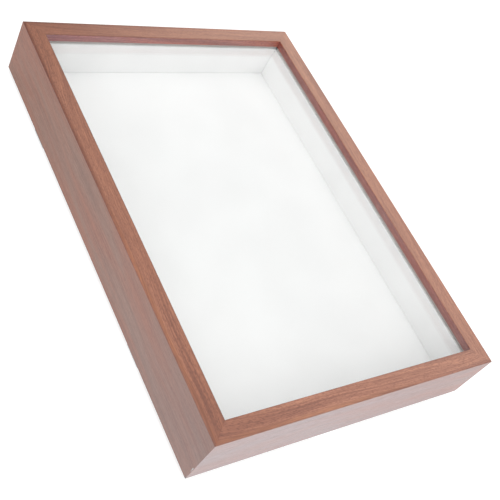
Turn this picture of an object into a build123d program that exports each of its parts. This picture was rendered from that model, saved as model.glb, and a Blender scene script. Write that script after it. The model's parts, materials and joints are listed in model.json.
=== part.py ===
"""Butterfly display case: a mitred shadow-box frame, 21 x 30 cm, 42 mm deep.

The case lies on its back. +X runs across the short side, +Y runs up the long side to the
top rail and +Z points out through the glass. The origin is the middle of the case, on the
surface that the screw heads of the back touch. All sizes are in millimetres.
"""
import os

from build123d import *

os.makedirs("parts", exist_ok=True)

# ---------------------------------------------------------------- driving dimensions
case_width = 224.0
case_height = 313.0

# moulding: an L-shaped section, the lip at the front covers the rabbet behind it
moulding_depth = 42.0
face_width = 12.2
wall_thickness = 6.5
lip_height = 5.8
outer_edge_radius = 0.7
sight_edge_radius = 0.4
back_edge_chamfer = 0.4

# glazing and lining
glass_thickness = 2.0
glass_clearance = 0.5
glass_edge_chamfer = 0.2
tape_thickness = 1.9
tape_width = 4.6
tape_setback = 0.3
tape_corner_gap = 1.6
spacer_thickness = 5.0

# removable back
panel_thickness = 2.5
panel_clearance = 0.5
panel_recess = 0.2
panel_corner_radius = 1.0
foam_thickness = 3.0

# V-nails that draw each mitre together
nail_leg = 4.2
nail_sheet = 0.5
nail_length = 7.0
nails_per_corner = 2
nail_inset = 2.0
nail_countersink = 0.5
nail_gap = 0.1

# turn buttons and their pan-head screws
button_length = 20.0
button_width = 6.2
button_thickness = 1.0
button_hole_radius = 1.55
button_play = 0.05
button_edge_chamfer = 0.2
screw_inset = 3.35
screw_shank_radius = 1.3
screw_length = 11.0
screw_head_radius = 2.7
screw_head_height = 1.7
screw_head_bevel = 0.8
screw_recess_length = 3.0
screw_recess_width = 0.7
screw_recess_depth = 0.8
screw_tip_chamfer = 0.7
long_rail_screw_share = 0.27

# sawtooth hangers and their nails
hanger_length = 46.0
hanger_width = 9.0
hanger_sheet = 0.6
hanger_foot = 6.5
hanger_ramp = 1.4
hanger_rise = 1.2
hanger_hole_inset = 3.0
tooth_pitch = 2.4
tooth_depth = 1.5
tooth_count = 11
tooth_tip_flat = 0.3
hanger_corner_radius = 2.4
hanger_edge_distance = 30.0
hanger_nail_shank_radius = 0.8
hanger_nail_head_radius = 1.8
hanger_nail_head_height = 0.6
hanger_nail_head_bevel = 0.3
hanger_nail_depth = 2.0

# ---------------------------------------------------------------- derived heights and sizes
back_plane = screw_head_height + button_thickness + 2 * button_play
front_plane = back_plane + moulding_depth
lip_underside = front_plane - lip_height
glass_top = lip_underside - tape_thickness
glass_underside = glass_top - glass_thickness
panel_back = back_plane + panel_recess
panel_front = panel_back + panel_thickness
foam_front = panel_front + foam_thickness

rabbet_width = case_width - 2 * wall_thickness
rabbet_height = case_height - 2 * wall_thickness
sight_height = case_height - 2 * face_width
panel_width = rabbet_width - 2 * panel_clearance
panel_height = rabbet_height - 2 * panel_clearance
glass_width = rabbet_width - 2 * glass_clearance
glass_height = rabbet_height - 2 * glass_clearance

# A plane on each rail's outer face at mid-length, on the rails' back: its X runs along the
# rail and its Y points into the case.
rail_layout = {
    "bottom": (case_width, Plane((0, -case_height / 2, back_plane), x_dir=(1, 0, 0))),
    "right": (case_height, Plane((case_width / 2, 0, back_plane), x_dir=(0, 1, 0))),
    "top": (case_width, Plane((0, case_height / 2, back_plane), x_dir=(-1, 0, 0))),
    "left": (case_height, Plane((-case_width / 2, 0, back_plane), x_dir=(0, -1, 0))),
}

# One turn button in the middle of a short rail and two on a long one: the rail that carries
# it and how far its screw stands from that rail's middle.
button_reach = long_rail_screw_share * case_height
turn_buttons = {
    "turn_button_bottom": ("bottom", 0.0),
    "turn_button_right_lower": ("right", -button_reach),
    "turn_button_right_upper": ("right", button_reach),
    "turn_button_top": ("top", 0.0),
    "turn_button_left_upper": ("left", -button_reach),
    "turn_button_left_lower": ("left", button_reach),
}
button_space = button_thickness + 2 * button_play
screw_places = {
    side: [(station, screw_inset) for rail, station in turn_buttons.values() if rail == side]
    for side in rail_layout
}

# A plane at the middle of each hanger on the panel's back, facing out of the back: its X
# runs along the hanger and its Y towards the toothed edge.
hanger_layout = {
    "sawtooth_hanger_portrait": Plane(
        (0, panel_height / 2 - hanger_edge_distance, panel_back),
        x_dir=(1, 0, 0),
        z_dir=(0, 0, -1),
    ),
    "sawtooth_hanger_landscape": Plane(
        (-panel_width / 2 + hanger_edge_distance, 0, panel_back),
        x_dir=(0, 1, 0),
        z_dir=(0, 0, -1),
    ),
}
hanger_nail_reach = hanger_length / 2 - hanger_hole_inset
hanger_nail_places = [(-hanger_nail_reach, 0), (hanger_nail_reach, 0)]


# ---------------------------------------------------------------- rails
# The right-angled V of a corner nail, its outer corner at the origin.
nail_outline = [
    (0, 0),
    (nail_leg, 0),
    (nail_leg, nail_sheet),
    (nail_sheet, nail_sheet),
    (nail_sheet, nail_leg),
    (0, nail_leg),
]
nail_step = nail_length + nail_gap
nail_slot_depth = nail_countersink + nails_per_corner * nail_step

for side, (rail_length, rail_plane) in rail_layout.items():
    with BuildPart() as rail:
        # the plan of the rail is a trapezoid, because both its ends are mitred
        with BuildSketch(rail_plane):
            Polygon(
                (-rail_length / 2, 0),
                (rail_length / 2, 0),
                (rail_length / 2 - face_width, face_width),
                (-rail_length / 2 + face_width, face_width),
                align=None,
            )
        extrude(amount=moulding_depth)
        # rabbet behind the lip, open to the back
        with BuildSketch(rail_plane):
            with Locations((0, wall_thickness)):
                Rectangle(rail_length, face_width, align=(Align.CENTER, Align.MIN))
        extrude(amount=moulding_depth - lip_height, mode=Mode.SUBTRACT)
        # eased edges along the face, and a light chamfer along the outer back edge
        along = Axis((0, 0, 0), rail_plane.x_dir)
        inward = Axis((0, 0, 0), rail_plane.y_dir)
        long_edges = rail.edges().filter_by(along)
        outer_face_edge = long_edges.group_by(Axis.Z)[-1].sort_by(inward)[0]
        sight_edge = long_edges.group_by(Axis.Z)[-1].sort_by(inward)[-1]
        outer_back_edge = long_edges.group_by(Axis.Z)[0].sort_by(inward)[0]
        fillet(outer_face_edge, outer_edge_radius)
        fillet(sight_edge, sight_edge_radius)
        chamfer(outer_back_edge, back_edge_chamfer)
        # slots that the corner nails are driven into, half of each V in this rail
        with BuildSketch(rail_plane):
            with Locations((-rail_length / 2 + nail_inset, nail_inset)):
                Polygon(*nail_outline, align=None)
            mirror(about=Plane.YZ)
        extrude(amount=nail_slot_depth, mode=Mode.SUBTRACT)
        # pilot holes of the turn-button screws
        with BuildSketch(rail_plane):
            with Locations(*screw_places[side]):
                Circle(screw_shank_radius)
        extrude(amount=screw_length - button_space, mode=Mode.SUBTRACT)
    rail.part.label = f"rail_{side}"
    export_step(rail.part, f"parts/rail_{side}.step")


# ---------------------------------------------------------------- corner nails
with BuildPart() as corner_v_nails:
    for rail_length, rail_plane in rail_layout.values():
        for level in range(nails_per_corner):
            with BuildSketch(rail_plane.offset(nail_countersink + level * nail_step)):
                with Locations((-rail_length / 2 + nail_inset, nail_inset)):
                    Polygon(*nail_outline, align=None)
            extrude(amount=nail_length)
corner_v_nails.part.label = "corner_v_nails"
export_step(corner_v_nails.part, "parts/corner_v_nails.step")


# ---------------------------------------------------------------- glazing
# The strips along the short rails run the full width. Those along the long rails stop short
# of them, so each corner keeps a small gap.
tape_inner_edge = face_width - tape_setback
tape_outer_edge = tape_inner_edge - tape_width
tape_lengths = {
    "bottom": case_width - 2 * tape_outer_edge,
    "right": case_height - 2 * (tape_inner_edge + tape_corner_gap),
    "top": case_width - 2 * tape_outer_edge,
    "left": case_height - 2 * (tape_inner_edge + tape_corner_gap),
}

for side, tape_length in tape_lengths.items():
    with BuildPart() as tape:
        with BuildSketch(rail_layout[side][1].offset(glass_top - back_plane)):
            with Locations((0, tape_outer_edge)):
                Rectangle(tape_length, tape_width, align=(Align.CENTER, Align.MIN))
        extrude(amount=tape_thickness)
    tape.part.label = f"glazing_tape_{side}"
    export_step(tape.part, f"parts/glazing_tape_{side}.step")

with BuildPart() as glass_pane:
    with BuildSketch(Plane.XY.offset(glass_underside)):
        Rectangle(glass_width, glass_height)
    extrude(amount=glass_thickness)
    chamfer(glass_pane.edges(), glass_edge_chamfer)
glass_pane.part.label = "glass_pane"
export_step(glass_pane.part, "parts/glass_pane.step")


# ---------------------------------------------------------------- white spacers
# The short ones run across the whole rabbet, the long ones stand between them.
spacer_lengths = {
    "bottom": panel_width,
    "right": sight_height,
    "top": panel_width,
    "left": sight_height,
}

for side, spacer_length in spacer_lengths.items():
    with BuildPart() as spacer:
        with BuildSketch(rail_layout[side][1].offset(foam_front - back_plane)):
            with Locations((0, face_width)):
                Rectangle(spacer_length, spacer_thickness, align=(Align.CENTER, Align.MAX))
        extrude(amount=glass_underside - foam_front)
    spacer.part.label = f"spacer_{side}"
    export_step(spacer.part, f"parts/spacer_{side}.step")


# ---------------------------------------------------------------- removable back
with BuildPart() as back_panel:
    with BuildSketch(Plane.XY.offset(panel_back)):
        RectangleRounded(panel_width, panel_height, panel_corner_radius)
    extrude(amount=panel_thickness)
    for hanger_plane in hanger_layout.values():
        with BuildSketch(hanger_plane):
            with Locations(*hanger_nail_places):
                Circle(hanger_nail_shank_radius)
        extrude(amount=-hanger_nail_depth, mode=Mode.SUBTRACT)
back_panel.part.label = "back_panel"
export_step(back_panel.part, "parts/back_panel.step")

with BuildPart() as pinning_foam:
    with BuildSketch(Plane.XY.offset(panel_front)):
        RectangleRounded(panel_width, panel_height, panel_corner_radius)
    extrude(amount=foam_thickness)
pinning_foam.part.label = "pinning_foam"
export_step(pinning_foam.part, "parts/pinning_foam.step")


# ---------------------------------------------------------------- turn buttons
# Each button lies along its rail, clear of the back. A quarter turn lays it over the back.
for button_name, (side, station) in turn_buttons.items():
    button_face = rail_layout[side][1].offset(-button_play - button_thickness)
    with BuildPart() as turn_button:
        with BuildSketch(button_face):
            with Locations((station - (button_length - button_width) / 2, screw_inset)):
                SlotOverall(button_length, button_width)
            with Locations((station, screw_inset)):
                Circle(button_hole_radius, mode=Mode.SUBTRACT)
        extrude(amount=button_thickness)
        back_rim = turn_button.faces().sort_by(Axis.Z)[0].outer_wire()
        chamfer(back_rim.edges(), button_edge_chamfer)
    turn_button.part.label = button_name
    export_step(turn_button.part, f"parts/{button_name}.step")

with BuildPart() as turn_button_screws:
    for side, station in turn_buttons.values():
        head_seat = rail_layout[side][1].offset(-button_space)
        with BuildSketch(head_seat):
            with Locations((station, screw_inset)):
                Circle(screw_shank_radius)
        extrude(amount=screw_length)
        with BuildSketch(head_seat):
            with Locations((station, screw_inset)):
                Circle(screw_head_radius)
        extrude(amount=-screw_head_height)
    chamfer(turn_button_screws.edges().group_by(Axis.Z)[-1], screw_tip_chamfer)
    chamfer(turn_button_screws.edges().group_by(Axis.Z)[0], screw_head_bevel)
    for side, station in turn_buttons.values():
        with BuildSketch(rail_layout[side][1].offset(-button_space - screw_head_height)):
            with Locations((station, screw_inset)):
                Rectangle(screw_recess_length, screw_recess_width)
                Rectangle(screw_recess_width, screw_recess_length)
        extrude(amount=screw_recess_depth, mode=Mode.SUBTRACT)
turn_button_screws.part.label = "turn_button_screws"
export_step(turn_button_screws.part, "parts/turn_button_screws.step")


# ---------------------------------------------------------------- sawtooth hangers
# Side view of the bent strip: two feet on the panel and a raised bridge with the teeth.
bridge_reach = hanger_length / 2 - hanger_foot
strip_line = [
    (-hanger_length / 2, 0),
    (-bridge_reach, 0),
    (-bridge_reach + hanger_ramp, hanger_rise),
    (bridge_reach - hanger_ramp, hanger_rise),
    (bridge_reach, 0),
    (hanger_length / 2, 0),
]
strip_outline = strip_line + [(x, z + hanger_sheet) for x, z in reversed(strip_line)]
notch_half_width = (tooth_pitch - tooth_tip_flat) / 2

for hanger_name, hanger_plane in hanger_layout.items():
    side_view = Plane(
        hanger_plane.origin,
        x_dir=hanger_plane.x_dir,
        z_dir=-hanger_plane.y_dir,
    )
    with BuildPart() as hanger:
        with BuildSketch(side_view):
            Polygon(*strip_outline, align=None)
        extrude(amount=hanger_width / 2, both=True)
        with BuildSketch(hanger_plane):
            RectangleRounded(hanger_length, hanger_width, hanger_corner_radius)
            with Locations(*hanger_nail_places):
                Circle(hanger_nail_shank_radius, mode=Mode.SUBTRACT)
        extrude(amount=hanger_rise + hanger_sheet, mode=Mode.INTERSECT)
        with BuildSketch(hanger_plane):
            with Locations((0, hanger_width / 2)):
                with GridLocations(tooth_pitch, tooth_pitch, tooth_count, 1):
                    Polygon(
                        (-notch_half_width, 0),
                        (0, -tooth_depth),
                        (notch_half_width, 0),
                        align=None,
                    )
        extrude(amount=hanger_rise + hanger_sheet, mode=Mode.SUBTRACT)
    hanger.part.label = hanger_name
    export_step(hanger.part, f"parts/{hanger_name}.step")

with BuildPart() as hanger_nails:
    for hanger_plane in hanger_layout.values():
        with BuildSketch(hanger_plane.offset(-hanger_nail_depth)):
            with Locations(*hanger_nail_places):
                Circle(hanger_nail_shank_radius)
        extrude(amount=hanger_nail_depth + hanger_sheet)
        with BuildSketch(hanger_plane.offset(hanger_sheet)):
            with Locations(*hanger_nail_places):
                Circle(hanger_nail_head_radius)
        extrude(amount=hanger_nail_head_height)
    chamfer(hanger_nails.edges().group_by(Axis.Z)[0], hanger_nail_head_bevel)
hanger_nails.part.label = "hanger_nails"
export_step(hanger_nails.part, "parts/hanger_nails.step")
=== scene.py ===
import json
import math

import bmesh
import bpy
from bpy.props import FloatProperty, FloatVectorProperty, PointerProperty
from mathutils import Matrix, Vector


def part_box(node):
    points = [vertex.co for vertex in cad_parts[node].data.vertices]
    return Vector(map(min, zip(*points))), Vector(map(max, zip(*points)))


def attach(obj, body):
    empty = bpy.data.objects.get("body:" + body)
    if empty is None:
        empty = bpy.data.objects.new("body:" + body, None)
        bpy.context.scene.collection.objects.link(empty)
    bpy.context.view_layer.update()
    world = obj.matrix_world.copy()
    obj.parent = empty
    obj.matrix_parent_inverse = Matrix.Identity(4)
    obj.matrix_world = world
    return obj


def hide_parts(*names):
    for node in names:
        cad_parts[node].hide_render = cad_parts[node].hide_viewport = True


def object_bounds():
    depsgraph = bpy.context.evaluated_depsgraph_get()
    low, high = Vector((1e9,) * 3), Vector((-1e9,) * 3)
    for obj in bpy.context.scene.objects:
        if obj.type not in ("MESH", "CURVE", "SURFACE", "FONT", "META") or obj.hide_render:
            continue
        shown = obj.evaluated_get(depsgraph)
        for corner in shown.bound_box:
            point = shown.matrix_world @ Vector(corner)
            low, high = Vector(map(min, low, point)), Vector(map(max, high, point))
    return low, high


bl_info = {
    "name": "Butterfly display case",
    "version": (1, 0, 0),
    "blender": (4, 5, 0),
    "location": "3D View > Sidebar > Display case",
    "description": "Dresses a mitred shadow-box case with foil, glass, white lining and back hardware",
    "category": "Object",
}

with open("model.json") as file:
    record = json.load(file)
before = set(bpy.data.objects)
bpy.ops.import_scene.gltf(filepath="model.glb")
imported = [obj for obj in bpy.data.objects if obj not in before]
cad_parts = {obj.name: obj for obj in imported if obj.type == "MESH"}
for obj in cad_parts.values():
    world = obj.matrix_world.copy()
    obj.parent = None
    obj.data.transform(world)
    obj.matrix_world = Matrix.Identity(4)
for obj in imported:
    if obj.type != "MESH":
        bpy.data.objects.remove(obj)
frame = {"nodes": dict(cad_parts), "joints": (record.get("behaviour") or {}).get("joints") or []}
CAD_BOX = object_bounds()

MM = 0.001
SIDES = ("bottom", "right", "top", "left")
HANGERS = ("sawtooth_hanger_portrait", "sawtooth_hanger_landscape")

# The bodies that the pieces ride on
FRAME_BODY = "frame"
BACK_BODY = "removable_back"

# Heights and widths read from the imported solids
RAIL_LOW, RAIL_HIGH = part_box("rail_left")
BACK_PLANE = RAIL_LOW.z
FRONT_PLANE = RAIL_HIGH.z
FACE_WIDTH = RAIL_HIGH.x - RAIL_LOW.x
CASE_WIDTH = CAD_BOX[1].x - CAD_BOX[0].x
CASE_HEIGHT = CAD_BOX[1].y - CAD_BOX[0].y
LIP_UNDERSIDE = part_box("glazing_tape_left")[1].z
CORNER_NAILS_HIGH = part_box("corner_v_nails")[1]
SCREW_LOW, SCREW_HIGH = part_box("turn_button_screws")

# The turn buttons' hinges, each of which stands where its screw does
HINGES = [joint for joint in frame["joints"] if joint["type"] == "hinge"]

# Where each rail stands: the middle of its outer face, the way it runs and the way inwards
RAIL_PLACES = {
    "bottom": (CASE_WIDTH, Vector((0, -CASE_HEIGHT / 2, 0)), Vector((1, 0, 0)), Vector((0, 1, 0))),
    "right": (CASE_HEIGHT, Vector((CASE_WIDTH / 2, 0, 0)), Vector((0, 1, 0)), Vector((-1, 0, 0))),
    "top": (CASE_WIDTH, Vector((0, CASE_HEIGHT / 2, 0)), Vector((-1, 0, 0)), Vector((0, -1, 0))),
    "left": (CASE_HEIGHT, Vector((-CASE_WIDTH / 2, 0, 0)), Vector((0, -1, 0)), Vector((1, 0, 0))),
}


def size_property(name, millimetres, description):
    """A length that a user may change, kept in metres."""
    return FloatProperty(
        name=name, description=description, default=millimetres * MM, min=0.0, precision=5, unit="LENGTH"
    )


def colour_property(name, colour, description):
    """A colour that a user may change."""
    return FloatVectorProperty(
        name=name, description=description, default=colour, size=3, min=0.0, max=1.0, subtype="COLOR"
    )


def level_property(name, level, description):
    """A plain strength that a user may change."""
    return FloatProperty(name=name, description=description, default=level, min=0.0)


# ---------------- settings
class CaseRailSettings(bpy.types.PropertyGroup):
    """The moulding and its foil"""

    wall: size_property("Wall", 6.5, "Wood behind the rabbet")
    outer_radius: size_property("Outer edge radius", 0.7, "Rounding of the outer front edge")
    sight_radius: size_property("Sight edge radius", 0.4, "Rounding of the edge around the glass")
    back_chamfer: size_property("Back chamfer", 0.2, "Chamfer of the outer back edge")
    foil_overlap: size_property("Foil overlap", 2.2, "How far the foil is folded onto the back")
    mitre_groove: size_property("Mitre groove", 0.04, "Depth of the hairline at a mitre")
    light_wood: colour_property("Light wood", (0.516, 0.227, 0.134), "Palest streaks of the foil")
    mid_wood: colour_property("Middle wood", (0.396, 0.163, 0.097), "Reddish bands of the foil")
    dark_wood: colour_property("Dark wood", (0.185, 0.063, 0.039), "Ticks and pores of the foil")
    side_print: level_property("Side print", 0.7, "Depth of the grain on the outer sides")
    lip_print: level_property("Lip print", 1.7, "Depth of the grain on the lip's wall")
    core: colour_property("Core", (0.50, 0.36, 0.235), "Raw fibre core under the foil")


class CaseGlazingSettings(bpy.types.PropertyGroup):
    """The pane and the strips that hold it"""

    glass: colour_property("Glass", (0.985, 0.992, 0.988), "Tint of the pane")
    tape: colour_property("Tape", (0.40, 0.375, 0.36), "Foam glazing tape")


class CaseLiningSettings(bpy.types.PropertyGroup):
    """The white inside"""

    edge_radius: size_property("Board edge radius", 0.35, "Rounding of the spacer boards' edges")
    board: colour_property("Board", (0.95, 0.95, 0.95), "White face of the spacer boards")
    foam: colour_property("Foam", (0.905, 0.905, 0.905), "White pinning foam")


class CaseBackSettings(bpy.types.PropertyGroup):
    """The back panel and its hardware"""

    panel: colour_property("Panel", (0.36, 0.235, 0.14), "Smooth side of the fibreboard")
    zinc: colour_property("Zinc", (0.62, 0.63, 0.64), "Plating of the buttons and screws")
    brass: colour_property("Brass", (0.78, 0.60, 0.30), "Plating of the hangers")
    blued: colour_property("Blued steel", (0.30, 0.31, 0.34), "Sheet of the corner nails")
    button_thickness: size_property("Button thickness", 1.0, "Sheet of the turn buttons")
    button_rounding: size_property("Button rounding", 0.18, "Rounding of the punched edge")
    button_hole: size_property("Button hole radius", 1.55, "Hole the screw passes through")
    screw_rim: size_property("Screw rim", 0.6, "Straight part of the pan head")
    nail_head: size_property("Nail head radius", 1.8, "Head of the hanger nails")
    nail_head_height: size_property("Nail head height", 0.6, "Head of the hanger nails")
    nail_shank: size_property("Nail shank radius", 0.8, "Shank of the hanger nails")


class CaseStageSettings(bpy.types.PropertyGroup):
    """The camera and the sky"""

    camera_place: FloatVectorProperty(
        name="Camera place",
        description="Where the camera stands, in metres",
        default=(-0.34612, -0.26453, 0.41743),
        size=3,
        subtype="TRANSLATION",
    )
    camera_lens: FloatProperty(
        name="Lens", description="Focal length on a 36 mm sensor", default=62.01, unit="CAMERA"
    )
    ground: level_property("Ground level", 0.28, "The dim part of the sky")
    band: level_property("Band", 1.0, "The bright band low on one side")
    patch: level_property("Patch", 1.79, "The wide soft patch above")
    patch_way: FloatVectorProperty(
        name="Patch way",
        description="The way to the middle of the soft patch",
        default=(-0.28, -0.29, 0.915),
        size=3,
        subtype="DIRECTION",
    )


SETTINGS = {
    "case_rails": CaseRailSettings,
    "case_glazing": CaseGlazingSettings,
    "case_lining": CaseLiningSettings,
    "case_back": CaseBackSettings,
    "case_stage": CaseStageSettings,
}


# ---------------- node helpers
class Wiring:
    """Adds nodes to one tree and wires their sockets by name."""

    def __init__(self, tree):
        self.tree = tree

    def add(self, kind, sockets=None, **settings):
        node = self.tree.nodes.new(kind)
        for name, value in settings.items():
            setattr(node, name, value)
        for key, value in (sockets or {}).items():
            self.feed(node.inputs[key], value)
        return node

    def feed(self, socket, value):
        """Links a socket, or sets its value."""
        if isinstance(value, bpy.types.NodeSocket):
            self.tree.links.new(value, socket)
        elif socket.type == "RGBA" and len(value) == 3:
            socket.default_value = (*value, 1.0)
        else:
            socket.default_value = value

    def math(self, operation, *values):
        node = self.add("ShaderNodeMath", operation=operation)
        for socket, value in zip(node.inputs, values):
            self.feed(socket, value)
        return node.outputs[0]

    def times(self, first, second):
        return self.math("MULTIPLY", first, second)

    def step(self, value, low, high, out_low=0.0, out_high=1.0):
        """A smooth change from out_low to out_high as value goes from low to high."""
        node = self.add(
            "ShaderNodeMapRange",
            {"Value": value, "From Min": low, "From Max": high, "To Min": out_low, "To Max": out_high},
            interpolation_type="SMOOTHSTEP",
        )
        return node.outputs["Result"]

    def blend(self, factor, first, second, blend_type="MIX"):
        """A mix of two colours. With MULTIPLY, the second shades the first as far as the factor says."""
        node = self.add("ShaderNodeMix", data_type="RGBA", blend_type=blend_type)
        self.feed(node.inputs["Factor"], factor)
        colours = [socket for socket in node.inputs if socket.type == "RGBA"]
        self.feed(colours[0], first)
        self.feed(colours[1], second)
        return next(socket for socket in node.outputs if socket.type == "RGBA")

    def noise(self, vector, scale=1.0, detail=2.0, roughness=0.5, distortion=0.0):
        sockets = {"Vector": vector, "Scale": scale, "Detail": detail}
        sockets |= {"Roughness": roughness, "Distortion": distortion}
        return self.add("ShaderNodeTexNoise", sockets).outputs["Fac"]

    def vector(self, x, y, z=0.0):
        return self.add("ShaderNodeCombineXYZ", {"X": x, "Y": y, "Z": z}).outputs[0]

    def stretch(self, vector, scale):
        """The vector scaled along each axis."""
        node = self.add("ShaderNodeVectorMath", {0: vector, 1: scale}, operation="MULTIPLY")
        return node.outputs["Vector"]

    def distance(self, place, middle):
        """How far a place is from a fixed point."""
        node = self.add("ShaderNodeVectorMath", {0: place, 1: middle}, operation="DISTANCE")
        return node.outputs["Value"]

    def object_vector(self):
        return self.add("ShaderNodeTexCoord").outputs["Object"]

    def group(self, tree, sockets):
        return self.add("ShaderNodeGroup", sockets, node_tree=tree).outputs

    def finish(self, shader, colour, roughness, relief, distance, strength=0.5):
        """Feeds a surface's colour, roughness and relief to its shader."""
        self.feed(shader.inputs["Base Color"], colour)
        self.feed(shader.inputs["Roughness"], roughness)
        bump = self.add("ShaderNodeBump", {"Height": relief, "Distance": distance, "Strength": strength})
        self.feed(shader.inputs["Normal"], bump.outputs["Normal"])

    def show(self, shader):
        """Puts a shader on the material's output."""
        output = next(node for node in self.tree.nodes if node.type == "OUTPUT_MATERIAL")
        self.feed(output.inputs["Surface"], shader)


def new_group(name, inputs, outputs):
    """A shader node group: inputs are (name, default), with None for a vector, and outputs are values."""
    tree = bpy.data.node_groups.new(name, "ShaderNodeTree")
    for socket_name, default in inputs:
        kind = "NodeSocketVector" if default is None else "NodeSocketFloat"
        socket = tree.interface.new_socket(name=socket_name, in_out="INPUT", socket_type=kind)
        if default is not None:
            socket.default_value = default
    for socket_name in outputs:
        tree.interface.new_socket(name=socket_name, in_out="OUTPUT", socket_type="NodeSocketFloat")
    w = Wiring(tree)
    return tree, w, w.add("NodeGroupInput").outputs, w.add("NodeGroupOutput").inputs


def shared_group(name, build):
    """The node group of that name, built the first time that it is asked for."""
    return bpy.data.node_groups.get(name) or build(name)


def surface(name):
    """A new material that shows one Principled shader: the material, its wiring and the shader."""
    material = bpy.data.materials.new(name)
    material.use_nodes = True
    material.node_tree.nodes.clear()
    w = Wiring(material.node_tree)
    shader = w.add("ShaderNodeBsdfPrincipled")
    w.add("ShaderNodeOutputMaterial")
    w.show(shader.outputs["BSDF"])
    return material, w, shader


def toned(colour, factor):
    """A colour made lighter or darker."""
    return tuple(min(1.0, channel * factor) for channel in colour)


# ---------------- shared effects
# The grain's own slow wander, per metre along and across the board
WANDER_SCALE = (8.0, 24.0, 1.0)
# The short pores per metre along it, how much more than the grain they lean, and their edge
PORES_ALONG = 430.0
PORE_LEAN = 4.0
PORE_EDGE = (0.20, 0.50)
STAINS_PER_METRE = 420.0


def build_wood_figure(name):
    """Bands, clouds, long streaks and short pores of walnut. Surface is (along, across, 0) in metres."""
    inputs = [
        ("Surface", None), ("Slant", 0.035), ("Drift", 0.014), ("Streaks Per Metre", 850.0),
        ("Pores Per Metre", 1600.0),
    ]
    tree, w, start, end = new_group(name, inputs, ("Bands", "Clouds", "Streaks", "Pores", "Fibres"))
    parts = w.add("ShaderNodeSeparateXYZ", {"Vector": start["Surface"]}).outputs
    wander = w.noise(w.stretch(start["Surface"], WANDER_SCALE), detail=1.0)
    drift = w.times(w.math("SUBTRACT", wander, 0.5), start["Drift"])

    def leaning(slant):
        """The surface with its grain drifting and leaning across the board as it runs along."""
        across = w.math("ADD", w.math("MULTIPLY_ADD", parts["X"], slant, parts["Y"]), drift)
        return w.vector(parts["X"], across)

    grain = leaning(start["Slant"])
    # each effect: how often it comes along and across the board, its detail, roughness and edge
    effects = {
        "Bands": ((12.0, 200.0, 1.0), 3.0, 0.5, (0.44, 0.64)),
        "Clouds": ((9.0, 60.0, 1.0), 2.0, 0.5, (0.34, 0.66)),
        "Streaks": (w.vector(13.0, start["Streaks Per Metre"], 1.0), 1.0, 0.5, (0.36, 0.70)),
        "Fibres": ((130.0, 1700.0, 1.0), 3.0, 0.6, (0.30, 0.70)),
    }
    for effect, (scale, detail, roughness, edge) in effects.items():
        noise = w.noise(w.stretch(grain, scale), detail=detail, roughness=roughness)
        w.feed(end[effect], w.step(noise, *edge))
    hatch = leaning(w.times(start["Slant"], PORE_LEAN))
    pores = w.stretch(hatch, w.vector(PORES_ALONG, start["Pores Per Metre"], 1.0))
    cells = w.add("ShaderNodeTexVoronoi", {"Vector": pores, "Scale": 1.0})
    w.feed(end["Pores"], w.step(cells.outputs["Distance"], *PORE_EDGE, 1.0, 0.0))
    return tree


def build_fine_mottle(name):
    """Fine grain of boards and foams, with slow clouds under it. Both come out between 0 and 1."""
    inputs = [("Surface", None), ("Grain Per Metre", 2600.0), ("Clouds Per Metre", 40.0)]
    tree, w, start, end = new_group(name, inputs, ("Grain", "Clouds"))
    grain = w.noise(start["Surface"], start["Grain Per Metre"], detail=3.0, roughness=0.6)
    clouds = w.noise(start["Surface"], start["Clouds Per Metre"], detail=3.0)
    w.feed(end["Grain"], grain)
    w.feed(end["Clouds"], clouds)
    return tree


def build_brushed_plate(name):
    """Rolling marks and handling stains of plated sheet steel."""
    inputs = [("Surface", None), ("Marks Across", 9000.0), ("Marks Along", 350.0)]
    tree, w, start, end = new_group(name, inputs, ("Marks", "Stains"))
    scale = w.vector(start["Marks Along"], start["Marks Across"], start["Marks Across"])
    w.feed(end["Marks"], w.noise(w.stretch(start["Surface"], scale), detail=3.0, roughness=0.6))
    w.feed(end["Stains"], w.noise(start["Surface"], STAINS_PER_METRE, detail=3.0, roughness=0.6))
    return tree


# ---------------- foil
# What each rail's mesh stores: its rubbed edges, how deep its grain shows, its face and the foil's tone
# with its painted light and shade
UNROLLED_MAP = "unrolled"
WEAR_MASK = "edge_wear"
PRINT_MASK = "print_depth"
FACE_MASK = "on_face"
SHADE_COLOUR = "foil_tone_and_painted_light"

# How much each part of the figure shows, and how much more in the dark bands and in the heart
CLOUD_DEPTH = 0.5
BAND_DEPTH = 0.5
STREAK_DEPTH = 0.30
PORE_DEPTH = 0.34
FIBRE_DEPTH = 0.34
MORE_IN_BANDS = 0.10
MORE_IN_HEART = 0.12
# The dark heart of the figure follows the face round the lower left corner
HEART_INSET = 6.6 * MM
HEART_HALF = (1.2 * MM, 3.6 * MM)
HEART_REACH = (0.050, 0.150)
# A bare strip with no pores runs along the outer edge of the lower left faces
BARE_STRIP = (1.04, 1.05, 0.93)
STRIP_HALF = (1.6 * MM, 3.0 * MM)
STRIP_REACH = (0.08, 0.20)
# The rubbed edges' tone, and the darker tone of those edges towards the upper left
BARE_EDGE = (0.92, 0.77, 0.68)
DARKER_EDGE = (0.62, 0.45, 0.38)
DARKER_EDGE_UP = (-0.04, 0.06)
DARKER_EDGE_LEFT = (-0.06, 0.06)
# Painted light on the face: its tone at the left and at the right, lighter towards the right as if lit from
# there, and how much deeper it is in the left corners, as painted shade
PAINTED_LIGHT_AT_LEFT = (0.89, 0.852, 0.854)
PAINTED_LIGHT_AT_RIGHT = (1.08, 1.10, 1.11)
LEFT_CORNERS_PAINTED_SHADE = (0.85, 0.77, 0.70)
CORNER_ACROSS = (-0.5 * CASE_WIDTH, -0.1 * CASE_WIDTH)
CORNER_ALONG = (0.22 * CASE_HEIGHT, 0.48 * CASE_HEIGHT)
# Between the clouds, the outer sides and the lip's wall have a smoky tone
SMOKY_TONE = (0.80, 1.08, 1.28)
# The pores are pressed in and the fibres stand up a little
PORE_RELIEF = -0.9
FIBRE_RELIEF = 0.3
FOIL_DEPTH = 0.05 * MM
FOIL_ROUGHNESS = (0.38, 0.48)
COAT_ROUGHNESS = 0.25


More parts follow.
